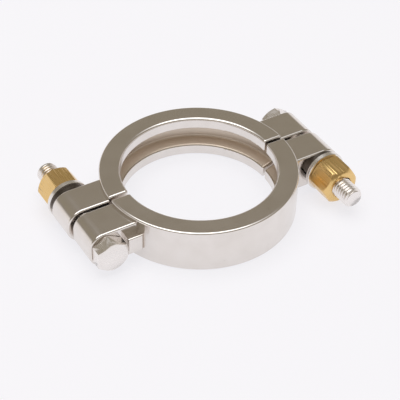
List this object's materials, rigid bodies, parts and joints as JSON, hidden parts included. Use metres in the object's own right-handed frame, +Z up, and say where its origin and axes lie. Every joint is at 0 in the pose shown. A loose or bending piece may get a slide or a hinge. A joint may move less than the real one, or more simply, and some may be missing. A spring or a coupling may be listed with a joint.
{
  "type": "two-bolt sanitary clamp",
  "caption": "Heavy sanitary clamp: a ring in two cast halves with a V groove for ferrule flanges, drawn together by a bolt, washers and a long brass nut on each side.",
  "frame": {"origin": "on the ring axis at the ring's bottom face", "axes": "+Z up the ring axis, X through both ears along the split, Y along the bolts"},
  "size_m": [0.1516, 0.104, 0.0245],
  "materials": {
    "cast_stainless": "polished",
    "bolt_steel": "satin",
    "washer_steel": "satin",
    "brass": "machined"
  },
  "bodies": {
    "front_half": {"half_shell_front": "cast_stainless", "bolt_left": "bolt_steel", "lock_washer_right": "washer_steel", "flat_washer_right": "washer_steel"},
    "rear_half": {"half_shell_rear": "cast_stainless", "bolt_right": "bolt_steel", "lock_washer_left": "washer_steel", "flat_washer_left": "washer_steel"},
    "nut_left": {"nut_left": "brass"},
    "nut_right": {"nut_right": "brass"}
  },
  "joints": [
    {"name": "halves_open", "type": "slide", "parent": "front_half", "child": "rear_half", "axis": [0, 1, 0], "range_m": [0, 0.012]},
    {"name": "nut_left_spin", "type": "hinge", "parent": "rear_half", "child": "nut_left", "pos_m": [-0.0645, 0, 0.01225], "axis": [0, 1, 0], "range_deg": [0, 2382.1]},
    {"name": "nut_right_spin", "type": "hinge", "parent": "front_half", "child": "nut_right", "pos_m": [0.0645, 0, 0.01225], "axis": [0, -1, 0], "range_deg": [0, 2382.1]}
  ],
  "couplings": [
    {"joint": "nut_left_spin", "follows": "halves_open", "rad_per_m": 3463.2},
    {"joint": "nut_right_spin", "follows": "halves_open", "rad_per_m": 3463.2}
  ]
}
